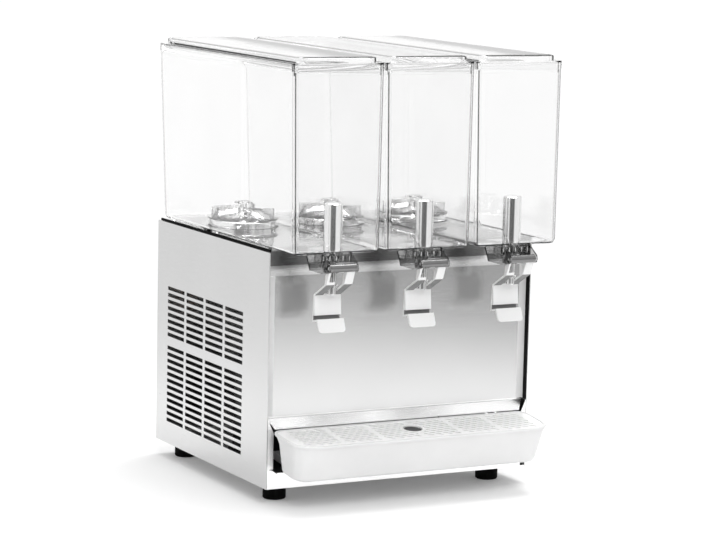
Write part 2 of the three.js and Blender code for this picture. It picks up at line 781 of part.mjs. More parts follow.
function lid() {
  const base = bowlTop + clearance;
  const flangeTop = base + lidFlange;
  const top = flangeTop + lidRise;
  const skirtRing = (z, wall) => {
    const inset = bowlWall + clearance + wall;
    const [side, , back] = bowlAt(bowlHeight - lidSkirt, -inset);
    const [, front] = bowlAt(bowlHeight, -inset);
    return roundedRing(-side, side, front, back, z, bowlCorner - inset, bowlCorner - inset);
  };
  const outside = loft([skirtRing(base - lidSkirt, 0), skirtRing(base, 0), lidRing(base, 0, 0),
    lidRing(flangeTop, 0, 0), lidRing(flangeTop, lidInset, lidFrontInset),
    lidRing(top - lidEdge / 2, lidInset, lidFrontInset),
    lidRing(top, lidInset + lidEdge, lidFrontInset + lidEdge)]);
  const hollow = loft([skirtRing(base - lidSkirt - overrun, lidWall), skirtRing(base, lidWall),
    lidRing(flangeTop, lidInset + lidWall, lidFrontInset + 2 * lidWall),
    lidRing(top - lidWall - lidEdge / 2, lidInset + lidWall, lidFrontInset + 2 * lidWall),
    lidRing(top - lidWall, lidInset + lidWall + lidEdge, lidFrontInset + 2 * lidWall + lidEdge)]);
  return cut(outside, hollow);
}

// Evaporator dome with its centre pin, open underneath
function dome() {
  const base = deckTop + clearance;
  const shoulder = base + domeSide;
  const crown = shoulder + domeCrown;
  const inner = domeRadius - domeWall;
  const hip = shoulder + domeCrown * (1 - domeHipShare * domeHipShare);
  return turned([[0, crown - domeWall], [domeRadius * domeHipShare, hip - domeWall],
    [inner, shoulder - domeWall], [inner, base], [domeRadius, base], [domeRadius, shoulder - domeWall],
    [domeRadius - domeWall, shoulder], [domeRadius * domeHipShare, hip], [domePinRadius, crown],
    [domePinRadius, crown + domePinHeight], [0, crown + domePinHeight]]);
}

function gasket() {
  const inner = domeRadius + clearance;
  const lip = inner + gasketLip;
  const base = deckTop + clearance;
  const seat = bowlBottom - clearance;
  return turned([[inner, base], [inner + gasketWidth, base], [inner + gasketWidth, seat],
    [lip, seat], [lip, bowlFloorTop], [inner, bowlFloorTop], [inner, base]]);
}

// Agitator: a shallow bell over the dome, a capped hub and swept blades
function agitator() {
  const gapAbove = domeTop + clearance;
  const rim = gapAbove - domeCrown + 2 * clearance;
  const bore = domePinRadius + clearance;
  const hubTop = gapAbove + agitatorHubHeight;
  const boreEnd = gapAbove + domePinHeight + clearance;
  const hip = gapAbove + clearance - domeCrown * domeHipShare * domeHipShare;
  const underside = [[bore, gapAbove], [domeRadius * domeHipShare, hip], [domeRadius - domeWall, rim],
    [agitatorRadius, rim]];
  const bell = turned([[0, boreEnd], [bore, boreEnd], ...underside, [agitatorRadius, rim + agitatorShell],
    [agitatorHub, gapAbove + agitatorShell], [agitatorHub, hubTop], [agitatorCapRadius, hubTop],
    [agitatorCapRadius - agitatorCapHeight, hubTop + agitatorCapHeight], [0, hubTop + agitatorCapHeight]]);
  const blades = Array.from({ length: agitatorBlades }, (_, i) => blade((i / agitatorBlades) * 2 * Math.PI));
  const far = agitatorRadius + overrun;
  const keepOut = turned([[0, rim - overrun], [far, rim - overrun], [far, rim], ...underside.reverse(),
    [0, gapAbove]]);
  return cut(join(bell, ...blades), keepOut).translate(0, domeBack, 0);
}

function blade(start) {
  const steps = 4;
  const inner = agitatorHub - agitatorShell;
  const reach = agitatorRadius - inner;
  const line = Array.from({ length: steps + 1 }, (_, i) => {
    const radius = inner + (i / steps) * reach;
    const angle = start + (i / steps) * agitatorBladeSweep;
    return [radius, angle];
  });
  const point = ([radius, angle], offset) => [
    radius * Math.cos(angle) - offset * Math.sin(angle), radius * Math.sin(angle) + offset * Math.cos(angle)];
  const near = line.map((p) => point(p, -agitatorShell / 2));
  const far = line.map((p) => point(p, agitatorShell / 2)).reverse();
  const base = domeTop - domeCrown + 2 * clearance + agitatorShell;
  return prismZ([...near, ...far], base, domeTop + agitatorShell + agitatorBladeHeight);
}

// Drive magnet on its shaft, and the motor that hangs from the deck
function driveMagnet() {
  const base = deckTop + magnetLift;
  const disc = barZ(magnetRadius, 0, 0, base, base + magnetHeight);
  const shaft = barZ(driveShaftRadius, 0, 0, base - driveShaftLength, base + magnetHeight / 2, smallSteps);
  return join(disc, shaft);
}

function stirrerMotor() {
  const top = deckBottom - clearance;
  const bore = driveShaftRadius + clearance;
  const floor = deckTop + magnetLift - driveShaftLength - clearance;
  return turned([[0, top - motorHeight], [motorRadius, top - motorHeight], [motorRadius, top - motorFlange],
    [motorFlangeRadius, top - motorFlange], [motorFlangeRadius, top], [bore, top], [bore, floor],
    [0, floor]]);
}

// Tap tube, piston and spring
function tapTube() {
  const base = bowlFloorTop + clearance;
  const top = base + tubeHeight;
  const inner = tubeRadius - tubeWall;
  const tube = turned([[0, top - tubeWall], [inner, top - tubeWall], [inner, base], [tubeRadius, base],
    [tubeRadius, top - tubeWall], [tubeRadius - tubeWall, top], [0, top]]);
  const mouth = block(-tubeMouthWidth / 2, tubeMouthWidth / 2, 0, tubeRadius + overrun,
    base - overrun, base + tubeMouthHeight);
  return cut(tube, mouth);
}

const forkRun = leverPlateReach - leverHeadReach;
const forkFall = leverPlateDrop - leverHeadDrop;
const forkLength = Math.hypot(forkRun, forkFall);

// Depth of the fork's top face below the pin, at a reach behind the pin
function forkTop(reach) {
  const fall = ((reach - leverHeadReach) * forkFall) / forkRun;
  return leverHeadDrop + fall - (leverPlate * forkLength) / forkRun;
}

const collarTouch = pinReach + outletSetback
  - Math.sqrt(pistonCollarRadius ** 2 - (forkGap / 2) ** 2);
const collarZ = pinZ - forkTop(collarTouch) + collarSlack;

function tapPiston() {
  const bottom = collarZ - pistonNozzle;
  const head = bowlFloorTop + clearance;
  const guide = head + pistonHead + pistonGuide;
  return turned([[0, collarZ], [pistonBore, collarZ], [pistonBore, bottom],
    [pistonRadius - pistonChamfer, bottom], [pistonRadius, bottom + pistonChamfer], [pistonRadius, collarZ],
    [pistonCollarRadius, collarZ], [pistonCollarRadius, collarZ + pistonCollar],
    [pistonRadius, collarZ + pistonCollar], [pistonRadius, head], [pistonHeadRadius, head],
    [pistonHeadRadius, head + pistonHead], [pistonGuideRadius, head + pistonHead],
    [pistonGuideRadius, guide], [0, guide]], smallSteps);
}

class Coil extends THREE.Curve {
  constructor(radius, base, height, turns) {
    super();
    Object.assign(this, { radius, base, height, turns });
  }

  getPoint(share, target = new THREE.Vector3()) {
    const angle = share * this.turns * 2 * Math.PI;
    return target.set(this.radius * Math.cos(angle), this.radius * Math.sin(angle),
      this.base + share * this.height);
  }
}

// Points round a wire or tube's section
function sectionShape(radius, count) {
  const points = Array.from({ length: count }, (_, i) => {
    const angle = (i / count) * 2 * Math.PI;
    return new THREE.Vector2(radius * Math.cos(angle), radius * Math.sin(angle));
  });
  return new THREE.Shape(points);
}

function pistonSpring() {
  const wireSides = 4;
  const stepsPerTurn = 7;
  const radius = (pistonGuideRadius + tubeRadius - tubeWall) / 2;
  const base = bowlFloorTop + 2 * clearance + pistonHead + springWire / 2;
  const top = bowlFloorTop + tubeHeight - tubeWall - springWire / 2;
  const path = new Coil(radius, base, top - base, springTurns);
  return new THREE.ExtrudeGeometry(sectionShape(springWire / 2, wireSides),
    { steps: springTurns * stepsPerTurn, bevelEnabled: false, extrudePath: path });
}

// Push lever: barrel, fork, paddle and lip
function tapLever() {
  const half = leverWidth / 2;
  const at = (reach, drop) => [pinY + reach, pinZ - drop];
  const rise = (leverPlate * forkLength) / forkRun;
  const headBack = leverHeadReach + leverHeadDepth / 2;
  const fork = [at(0, barrelRadius - clearance), at(leverHeadReach, leverHeadDrop),
    at(leverPlateReach, leverPlateDrop), at(leverPlateReach + leverPlate, leverPlateDrop - rise / 2),
    at(headBack, forkTop(headBack)), at(leverHeadDepth, leverHeadDepth), at(barrelRadius - clearance, 0)];
  const forkHalf = housingWidth / 2 - housingRib - clearance;
  const arms = Object.values(sides).map((side) => {
    const outer = side * forkHalf;
    const inner = side * (forkGap / 2);
    return prismX([...fork].reverse(), Math.min(outer, inner), Math.max(outer, inner));
  });
  const paddleTop = leverPlateDrop - rise / 2;
  const paddleEnd = paddleTop + paddleHeight;
  const paddleReach = leverPlateReach - paddleLean;
  const webFront = paddleReach + grooveDepth;
  const webBack = webFront + leverPlate;
  const lipTop = paddleEnd + grooveHeight;
  const lipEnd = lipTop + lipHeight;
  const paddle = [at(leverPlateReach, paddleTop), at(paddleReach, paddleEnd),
    at(webFront, paddleEnd + clearance), at(webFront, lipTop + leverPlate), at(lipReach, lipTop),
    at(lipReach - lipLean, lipEnd), at(lipReach - lipLean + leverPlate, lipEnd),
    at(lipReach + leverPlate, lipTop + leverPlate + clearance), at(webBack, lipTop + 2 * leverPlate),
    at(webBack, paddleEnd), at(leverPlateReach + leverPlate, paddleTop)];
  const plate = prismX([...paddle].reverse(), -half, half);
  const corners = Object.values(sides).map((side) => lipCornerCut(side * half, pinZ - lipEnd));
  const barrel = barX(barrelRadius, -forkHalf, forkHalf, pinY, pinZ, smallSteps);
  const bore = barX(pinRadius + clearance, -leverWidth, leverWidth, pinY, pinZ, smallSteps);
  return cut(join(barrel, ...arms, plate), bore, ...corners);
}

// What a round corner leaves of a square one, at the lip's lower end
function lipCornerCut(x, z) {
  const side = Math.sign(x);
  const middle = [x - side * lipCorner, z + lipCorner];
  const arc = Array.from({ length: cornerSteps + 1 }, (_, i) => {
    const angle = (i / cornerSteps) * (Math.PI / 2);
    return [middle[0] + side * lipCorner * Math.cos(angle), middle[1] - lipCorner * Math.sin(angle)];
  });
  const far = x + side * overrun;
  const points = [...arc, [middle[0], z - overrun], [far, z - overrun], [far, middle[1]]];
  return prismY(side > 0 ? points.reverse() : points, pinY - barrelRadius,
    pinY + leverPlateReach + lipReach);
}

function leverPin() {
  const half = housingWidth / 2 - clearance;
  return barX(pinRadius, -half, half, pinY, pinZ, smallSteps);
}

// Refrigeration
function compressor() {
  const base = panFloor + clearance;
  const top = base + compressorHeight;
  const body = turned([[0, base], [compressorFootRadius, base], [compressorFootRadius, base + compressorFoot],
    [compressorRadius, base + compressorFoot], [compressorRadius, top - compressorDome],
    [compressorRadius - compressorBevel, top - compressorBevel], [compressorRadius - compressorDome, top],
    [0, top]]);
  const port = barZ(portRadius, 0, 0, top - overrun, top + portHeight, smallSteps);
  return join(body, port).translate(compressorX, compressorY, 0);
}

const condenserOuter = halfWidth - sheet - condenserGap;
const condenserInner = condenserOuter - condenserWidth;
const condenserBack = fanY + condenserLength / 2;

// Finned block, seen from above as a comb with its spine towards the fan
function condenser() {
  const pitch = condenserLength / condenserFins;
  const start = fanY - condenserLength / 2;
  const teeth = Array.from({ length: condenserFins }, (_, i) => {
    const y = start + i * pitch;
    const end = y + pitch * (i < condenserFins - 1 ? finShare : 1);
    const tooth = [[condenserOuter, y], [condenserOuter, end]];
    return i < condenserFins - 1
      ? [...tooth, [condenserInner + condenserSpine, end], [condenserInner + condenserSpine, y + pitch]]
      : tooth;
  }).flat();
  const comb = [[condenserInner, start], ...teeth, [condenserInner, condenserBack]];
  const base = panFloor + clearance;
  const fins = prismZ(comb, base, base + condenserHeight);
  const inlet = barZ(portRadius, (condenserInner + condenserOuter) / 2, condenserBack - 2 * portRadius,
    base + condenserHeight - overrun, base + condenserHeight + portHeight, smallSteps);
  return join(fins, inlet);
}

const fanZ = panFloor + fanHeight;
const fanX = condenserInner - fanCondenserGap - fanHubLength;
const bracketX = fanX - 2 * clearance - sheet;

function fanBlade() {
  const hub = barX(fanHub, fanX, fanX + fanHubLength, 0, 0, smallSteps);
  const shaft = barX(fanShaftRadius, fanX - fanShaftLength, fanX + overrun, 0, 0, smallSteps);
  const length = fanRadius - fanHub / 2;
  const blades = Array.from({ length: fanBlades }, (_, i) => {
    const plate = new THREE.BoxGeometry(fanBladeThickness, fanBladeWidth, length);
    plate.rotateZ(fanBladePitch).translate(fanX + fanHubLength / 2, 0, fanHub / 2 + length / 2);
    return plate.rotateX((i / fanBlades) * 2 * Math.PI);
  });
  return join(hub, shaft, ...blades).translate(0, fanY, fanZ);
}

function fanMotor() {
  const front = bracketX - clearance;
  const body = barX(fanMotorRadius, front - fanMotorLength, front, fanY, fanZ);
  const boreEnd = fanX - fanShaftLength - clearance;
  const bore = barX(fanShaftRadius + clearance, boreEnd, front + overrun, fanY, fanZ, smallSteps);
  return cut(body, bore);
}

function fanBracket() {
  const base = panFloor + clearance;
  const half = bracketWidth / 2;
  const upright = block(bracketX, bracketX + sheet, fanY - half, fanY + half, base, fanZ + fanMotorRadius);
  const rest = block(bracketX - bracketFoot, bracketX + sheet, fanY - half, fanY + half, base, base + sheet);
  const hole = barX(fanShaftRadius + overrun, bracketX - overrun, bracketX + sheet + overrun, fanY, fanZ,
    smallSteps);
  return cut(join(upright, rest), hole);
}

// Copper line from the compressor, under the deck and past the three domes, to the condenser
function refrigerantLine() {
  const sectionSides = 8;
  const compressorTop = panFloor + 2 * clearance + compressorHeight + portHeight;
  const condenserTop = panFloor + 2 * clearance + condenserHeight + portHeight;
  const condenserX = (condenserInner + condenserOuter) / 2;
  const condenserY = condenserBack - 2 * portRadius;
  const lineY = domeBack + riserSetback;
  const lineZ = deckBottom - lineDrop;
  const startX = -bowlPitch - lineRadius;
  const risers = Object.values(places).map((x) =>
    barZ(lineRadius, x, lineY, lineZ, deckTop + magnetLift + magnetHeight, sectionSides));
  return join(
    barX(lineRadius, startX, condenserX + lineRadius, lineY, lineZ, sectionSides),
    barZ(lineRadius, compressorX, compressorY, compressorTop, lineZ + lineRadius, sectionSides),
    barY(lineRadius, compressorX, compressorY - lineRadius, lineY, lineZ, sectionSides),
    barY(lineRadius, condenserX, lineY, condenserY + lineRadius, lineZ, sectionSides),
    barZ(lineRadius, condenserX, condenserY, condenserTop, lineZ + lineRadius, sectionSides),
    ...risers);
}

// Controls
const bezelY = halfDepth + clearance;

function controlBox() {
  const halfW = controlWidth / 2;
  const halfH = controlHeight / 2;
  const body = block(controlX - halfW, controlX + halfW, bezelY - controlDepth, bezelY + sheet / 2,
    controlZ - halfH, controlZ + halfH);
  const rimW = halfW + controlBezel;
  const rimH = halfH + controlBezel;
  const bezel = block(controlX - rimW, controlX + rimW, bezelY, bezelY + sheet,
    controlZ - rimH, controlZ + rimH);
  const rockerX = controlX - controlSpacing;
  const slackX = rockerWidth / 2 + clearance;
  const slackZ = rockerHeight / 2 + rockerBezel;
  const pocket = block(rockerX - slackX, rockerX + slackX, bezelY - rockerDepth - rockerBezel,
    bezelY + sheet + overrun, controlZ - slackZ, controlZ + slackZ);
  const shaftBore = barY(driveShaftRadius, controlX + controlSpacing, bezelY - rockerDepth - clearance,
    bezelY + sheet + overrun, controlZ, smallSteps);
  return cut(join(body, bezel), pocket, shaftBore);
}

function thermostatKnob() {
  const base = bezelY + sheet + clearance;
  const x = controlX + controlSpacing;
  const skirt = barY(knobRadius + knobSkirt, x, base, base + knobSkirtHeight, controlZ);
  const grip = barY(knobRadius, x, base, base + knobSkirtHeight + knobHeight, controlZ);
  const shaft = barY(driveShaftRadius - clearance, x, bezelY - rockerDepth, base + overrun, controlZ,
    smallSteps);
  const face = base + knobSkirtHeight + knobHeight;
  const groove = block(x - knobPointer / 2, x + knobPointer / 2, base + knobHeight, face + overrun,
    controlZ + knobRadius / 2, controlZ + knobRadius + overrun);
  return cut(join(skirt, grip, shaft), groove);
}

// Rocker with a raised lower half, in its off position
function powerSwitch() {
  const x = controlX - controlSpacing;
  const half = rockerHeight / 2;
  const face = bezelY + sheet;
  const swing = half * Math.tan(rockerTilt);
  const side = [[face - rockerDepth / 2, controlZ - half], [face + swing, controlZ - half],
    [face, controlZ], [face - swing, controlZ + half], [face - rockerDepth / 2, controlZ + half],
    [face - rockerDepth, controlZ]].reverse();
  return prismX(side, x - rockerWidth / 2, x + rockerWidth / 2);
}

function cordGland() {
  const inner = halfDepth - sheet - clearance;
  const outer = halfDepth + clearance;
  const back = inner - glandNutLength;
  const end = outer + glandLength;
  const barrel = barY(glandRadius, controlX, back, end, glandZ, smallSteps);
  const collar = barY(glandNut, controlX, outer, outer + glandNutLength, glandZ, smallSteps);
  const nut = barY(glandNut, controlX, back, inner, glandZ, smallSteps);
  const bore = barY(glandBore, controlX, back - overrun, end + overrun, glandZ, smallSteps);
  return cut(join(barrel, collar, nut), bore);
}

// Assembly
place('base_chassis', chassis(), zincSheet);
Object.entries(sides).forEach(([name, side]) => place(`${name}_side_panel`, sidePanel(side), brushedSteel));
place('front_panel', frontPanel(), brushedSteel);
place('back_panel', backPanel(), brushedSteel);
place('top_deck', topDeck(), brushedSteel);
place('drip_ledge', dripLedge(), brushedSteel);

Object.entries({ front: -1, back: 1 }).forEach(([row, along]) => {
  Object.entries(sides).forEach(([name, side]) => {
    const mesh = place(`foot_${row}_${name}`, foot(), blackRubber);
    mesh.position.set(side * (halfWidth - footInsetX), along * (halfDepth - footInsetY) + footSetback, 0);
  });
});

Object.entries(places).forEach(([name, x]) => {
  const station = new THREE.Group();
  station.position.x = x;
  model.add(station);
  const cover = place(`evaporator_dome_${name}`, dome(), polishedSteel, station);
  const seal = place(`bowl_gasket_${name}`, gasket(), blackRubber, station);
  const magnet = place(`drive_magnet_${name}`, driveMagnet(), magnetGrey, station);
  const motor = place(`stirrer_motor_${name}`, stirrerMotor(), blackEnamel, station);
  [cover, seal, magnet, motor].forEach((mesh) => mesh.position.setY(domeBack));
  place(`bowl_${name}`, bowl(), clearPlastic, station);
  place(`lid_${name}`, lid(), clearPlastic, station);
  place(`agitator_${name}`, agitator(), clearPlastic, station);
  const tube = place(`tap_tube_${name}`, tapTube(), polishedSteel, station);
  const piston = place(`tap_piston_${name}`, tapPiston(), polishedSteel, station);
  const spring = place(`piston_spring_${name}`, pistonSpring(), polishedSteel, station);
  [tube, piston, spring].forEach((mesh) => mesh.position.setY(outletY));
  place(`tap_lever_${name}`, tapLever(), whitePlastic, station);
  place(`lever_pin_${name}`, leverPin(), polishedSteel, station);
});

const tray = trayFrame();
place('drip_tray', dripTray(), whitePlastic, tray);
place('drip_tray_grille', grille(), whitePlastic, tray);
place('level_float', levelFloat(), blackPlastic, tray);

place('compressor', compressor(), blackEnamel);
place('condenser', condenser(), zincSheet);
place('fan_blade', fanBlade(), blackPlastic);
place('fan_motor', fanMotor(), blackEnamel);
place('fan_bracket', fanBracket(), zincSheet);
place('refrigerant_line', refrigerantLine(), copper);
place('control_box', controlBox(), blackPlastic);
place('thermostat_knob', thermostatKnob(), blackPlastic);
place('power_switch', powerSwitch(), blackPlastic);
place('cord_gland', cordGland(), blackPlastic);

// The origin is on the ground under the middle of the whole object
const frontReach = earRadius - pinY;
const wholeModel = new THREE.Group();
wholeModel.add(model);
model.position.y = (frontReach - knobReach) / 2;

export default wholeModel;
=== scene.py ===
import json
import math

import bmesh
import bpy
from mathutils import Matrix, Vector

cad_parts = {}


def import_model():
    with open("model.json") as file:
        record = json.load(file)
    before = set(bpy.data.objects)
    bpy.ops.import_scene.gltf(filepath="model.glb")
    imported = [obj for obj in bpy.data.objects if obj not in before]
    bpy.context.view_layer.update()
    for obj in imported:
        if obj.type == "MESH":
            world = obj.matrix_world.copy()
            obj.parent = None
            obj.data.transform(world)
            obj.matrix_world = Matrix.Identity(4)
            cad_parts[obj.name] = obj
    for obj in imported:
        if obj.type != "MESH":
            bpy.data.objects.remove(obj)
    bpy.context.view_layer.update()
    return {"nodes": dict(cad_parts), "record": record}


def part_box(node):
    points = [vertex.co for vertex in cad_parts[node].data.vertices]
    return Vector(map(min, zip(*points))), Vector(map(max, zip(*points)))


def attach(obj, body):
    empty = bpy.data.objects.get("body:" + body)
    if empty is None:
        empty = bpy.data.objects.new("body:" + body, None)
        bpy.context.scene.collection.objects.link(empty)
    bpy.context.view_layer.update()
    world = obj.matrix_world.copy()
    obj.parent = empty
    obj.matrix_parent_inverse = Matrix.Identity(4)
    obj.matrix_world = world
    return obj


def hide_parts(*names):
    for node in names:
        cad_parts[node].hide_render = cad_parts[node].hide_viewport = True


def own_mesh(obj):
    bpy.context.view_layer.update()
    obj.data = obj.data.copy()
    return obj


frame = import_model()
NODES = frame["nodes"]
RECORD = frame["record"]
BODY_OF = {name: body for body, names in RECORD["behaviour"]["bodies"].items() for name in names}
SLOT_OF = {part["node"]: part["material_slot"] for part in RECORD["subparts"]}
JOINTS = {joint["name"]: joint for joint in RECORD["behaviour"]["joints"]}
PLACES = ("left", "middle", "right")

# Camera, in metres and degrees
CAMERA_PLACE = (-2.0293, -3.8612, 0.9604)
CAMERA_YAW = 27.826
CAMERA_PITCH = -8.158
CAMERA_ROLL = 1.306
CAMERA_LENS = 137.03
CLIP_END = 200

# Light levels
AMBIENT = 0.66
KEY_POWER = 38
OVERHEAD_POWER = 54
FLOOR_COLOR = 0.93
FLOOR_LIFT = 0.10
STUDIO_DIM = 0.35
STUDIO_DARK = 0.09
CARD_DARK = 0.2
BOUNCES = 32

# Lamps, in metres
KEY_PLACE = (-0.9, -2.7, 2.3)
KEY_TARGET = (0, 0, 0.3)
OVERHEAD_PLACE = (0.4, 0.1, 2.7)
OVERHEAD_TARGET = (0, 0, 0.4)
LAMP_SIZE = 1.6

# Floor, and the white paper on it as seen along the camera's heading, in metres
FLOOR_SIZE = 60
SHADOW_REACH = 0.9
FAR_REACH = 2.2
PAPER_HALF = 1.9
PAPER_FRONT = 2.0
PAPER_EDGE = 0.6

# Where the studio's tones change, as cosines: 1 is straight ahead, -1 is behind the camera
SIDE_FADE = (0.1, 0.4)
CAMERA_FADE = (-0.93, -0.82)
GLOSS_FADE = (-0.80, -0.66)
CARD_INNER = (0.93, 0.97)
CARD_OUTER = (0.86, 0.92)

# Sine of the height above the horizon at which the studio's dim parts end
DIM_HEIGHT = 0.7

# The camera's heading on the floor
HEADING = math.radians(CAMERA_YAW)
VIEW_AHEAD = (math.sin(HEADING), math.cos(HEADING), 0)
VIEW_RIGHT = (math.cos(HEADING), -math.sin(HEADING), 0)

# How crisp edges are broken, in metres and degrees
SMOOTH_ANGLE = 38
FLAT_ANGLE = 1
EDGE_STEPS = 2
EDGE_PROFILE = 0.6
WELD = 1e-5

# Finish of the materials
CLEAR_BENDING = 1.42
THIN_BENDING = 1.22
CLEAR_ROUGHNESS = (0.01, 0.03)
BRUSHED_ROUGHNESS = 0.22
BRUSHED_SPREAD = 0.06
BRUSHED_CLOUD = 0.4
BRUSHED_BUMP = (0.05, 0.0002)
POLISHED_ROUGHNESS = (0.06, 0.14)
MOULDED_SPREAD = 0.12
MOULDED_BUMP = (0.08, 0.0001)
ZINC_ROUGHNESS = (0.35, 0.5)
ZINC_METAL = 0.85
FLOOR_ROUGHNESS = 0.9
FLOOR_SHINE = 0.1


# Node helpers
def new_material(name):
    material = bpy.data.materials.new(name)
    material.use_nodes = True
    return material, material.node_tree.nodes, material.node_tree.links


def texture_space(nodes, links, scale=(1, 1, 1), turn=(0, 0, 0)):
    """Object coordinates, which are metres here, stretched along each axis."""
    place = nodes.new("ShaderNodeTexCoord")
    mapping = nodes.new("ShaderNodeMapping")
    mapping.inputs["Scale"].default_value = scale
    mapping.inputs["Rotation"].default_value = turn
    links.new(place.outputs["Object"], mapping.inputs["Vector"])
    return mapping.outputs["Vector"]


def noise(nodes, links, vector, scale, detail=3.0, roughness=0.5):
    texture = nodes.new("ShaderNodeTexNoise")
    texture.inputs["Scale"].default_value = scale
    texture.inputs["Detail"].default_value = detail
    texture.inputs["Roughness"].default_value = roughness
    links.new(vector, texture.inputs["Vector"])
    return texture.outputs["Fac"]


def ramp(nodes, links, factor, low, high, start=0.3, end=0.7):
    stops = nodes.new("ShaderNodeValToRGB")
    stops.color_ramp.elements[0].position = start
    stops.color_ramp.elements[1].position = end
    stops.color_ramp.elements[0].color = (*low, 1)
    stops.color_ramp.elements[1].color = (*high, 1)
    links.new(factor, stops.inputs["Fac"])
    return stops.outputs["Color"]


def grey(level):
    return (level, level, level)


def bump(nodes, links, height, strength, distance):
    node = nodes.new("ShaderNodeBump")
    node.inputs["Strength"].default_value = strength
    node.inputs["Distance"].default_value = distance
    links.new(height, node.inputs["Height"])
    return node.outputs["Normal"]


# Materials
def brushed_steel(name, grain, low=0.72, high=0.77, roughness=BRUSHED_ROUGHNESS):
    """Sheet brushed along one axis: grain holds the texture's stretch along x, y and z."""
    material, nodes, links = new_material(name)
    shader = nodes["Principled BSDF"]
    shader.inputs["Metallic"].default_value = 1.0
    vector = texture_space(nodes, links, grain)
    lines = noise(nodes, links, vector, scale=1.0, detail=5.0, roughness=0.6)
    cloud = noise(nodes, links, texture_space(nodes, links), scale=6.0, detail=2.0)
    mix = nodes.new("ShaderNodeMix")
    mix.inputs["Factor"].default_value = BRUSHED_CLOUD
    links.new(lines, mix.inputs["A"])
    links.new(cloud, mix.inputs["B"])
    tone = ramp(nodes, links, mix.outputs["Result"], grey(low), grey(high))
    links.new(tone, shader.inputs["Base Color"])
    dullness = ramp(nodes, links, lines, grey(roughness), grey(roughness + BRUSHED_SPREAD))
    links.new(dullness, shader.inputs["Roughness"])
    links.new(bump(nodes, links, lines, *BRUSHED_BUMP), shader.inputs["Normal"])
    return material


def polished_steel():
    material, nodes, links = new_material("polished_steel")
    shader = nodes["Principled BSDF"]
    shader.inputs["Metallic"].default_value = 1.0
    vector = texture_space(nodes, links, (1, 1, 0.2))
    smears = noise(nodes, links, vector, scale=60.0, detail=3.0)
    links.new(ramp(nodes, links, smears, grey(0.80), grey(0.88)), shader.inputs["Base Color"])
    low, high = [grey(level) for level in POLISHED_ROUGHNESS]
    links.new(ramp(nodes, links, smears, low, high), shader.inputs["Roughness"])
    return material


def clear_plastic(name, low, high, bending=CLEAR_BENDING):
    material, nodes, links = new_material(name)
    shader = nodes["Principled BSDF"]
    shader.inputs["Transmission Weight"].default_value = 1.0
    shader.inputs["IOR"].default_value = bending
    cloud = noise(nodes, links, texture_space(nodes, links), scale=9.0, detail=2.0)
    links.new(ramp(nodes, links, cloud, grey(low), grey(high)), shader.inputs["Base Color"])
    smooth_spot, dull_spot = [grey(level) for level in CLEAR_ROUGHNESS]
    links.new(ramp(nodes, links, cloud, smooth_spot, dull_spot), shader.inputs["Roughness"])
    return material


def moulded_plastic(name, low, high, roughness, grain=1400.0, shine=0.5):
    """Moulded plastic with a fine skin and a slight change of tone."""
    material, nodes, links = new_material(name)
    shader = nodes["Principled BSDF"]
    shader.inputs["Specular IOR Level"].default_value = shine
    cloud = noise(nodes, links, texture_space(nodes, links), scale=14.0, detail=3.0)
    skin = noise(nodes, links, texture_space(nodes, links), scale=grain, detail=2.0)
    links.new(ramp(nodes, links, cloud, low, high), shader.inputs["Base Color"])
    dullness = ramp(nodes, links, skin, grey(roughness), grey(roughness + MOULDED_SPREAD))
    links.new(dullness, shader.inputs["Roughness"])
    links.new(bump(nodes, links, skin, *MOULDED_BUMP), shader.inputs["Normal"])
    return material


def galvanised_sheet(name, low, high):
    """Zinc with its crystal patches."""
    material, nodes, links = new_material(name)
    shader = nodes["Principled BSDF"]
    shader.inputs["Metallic"].default_value = ZINC_METAL
    patches = nodes.new("ShaderNodeTexVoronoi")
    patches.inputs["Scale"].default_value = 90.0
    links.new(texture_space(nodes, links), patches.inputs["Vector"])
    tone = ramp(nodes, links, patches.outputs["Color"], grey(low), grey(high), start=0.2, end=0.8)
    links.new(tone, shader.inputs["Base Color"])
    dullness = ramp(nodes, links, patches.outputs["Color"], *[grey(level) for level in ZINC_ROUGHNESS])
    links.new(dullness, shader.inputs["Roughness"])
    return material


def copper():
    material, nodes, links = new_material("copper")
    shader = nodes["Principled BSDF"]
    shader.inputs["Metallic"].default_value = 1.0
    tarnish = noise(nodes, links, texture_space(nodes, links), scale=45.0, detail=4.0)
    tone = ramp(nodes, links, tarnish, (0.46, 0.22, 0.13), (0.72, 0.42, 0.28))
    links.new(tone, shader.inputs["Base Color"])
    links.new(ramp(nodes, links, tarnish, grey(0.4), grey(0.22)), shader.inputs["Roughness"])
    return material


# Stretch of the brushed texture: the lines run across each axis with a large number
STEEL_GRAIN = (40, 40, 2200)
SLEEVE_GRAIN = (2200, 40, 40)
LEDGE_GRAIN = (40, 1500, 1500)

MATERIALS = {
    "brushed_steel": brushed_steel("brushed_steel", STEEL_GRAIN),
    "polished_steel": polished_steel(),
    "galvanised_sheet": galvanised_sheet("galvanised_sheet", 0.52, 0.66),
    "condenser_fins": galvanised_sheet("condenser_fins", 0.62, 0.72),
    "copper": copper(),
    "clear_plastic": clear_plastic("clear_plastic", 0.975, 0.99),
    "white_plastic": moulded_plastic("white_plastic", grey(0.80), grey(0.84), roughness=0.3),
    "black_plastic": moulded_plastic("black_plastic", grey(0.010), grey(0.016), roughness=0.38),
    "black_rubber": moulded_plastic("black_rubber", grey(0.003), grey(0.006),
                                    roughness=0.7, grain=700.0, shine=0.05),
    "black_enamel": moulded_plastic("black_enamel", grey(0.012), grey(0.022),
                                    roughness=0.28, grain=500.0),
    "magnet": moulded_plastic("magnet", grey(0.06), grey(0.09), roughness=0.45),
}

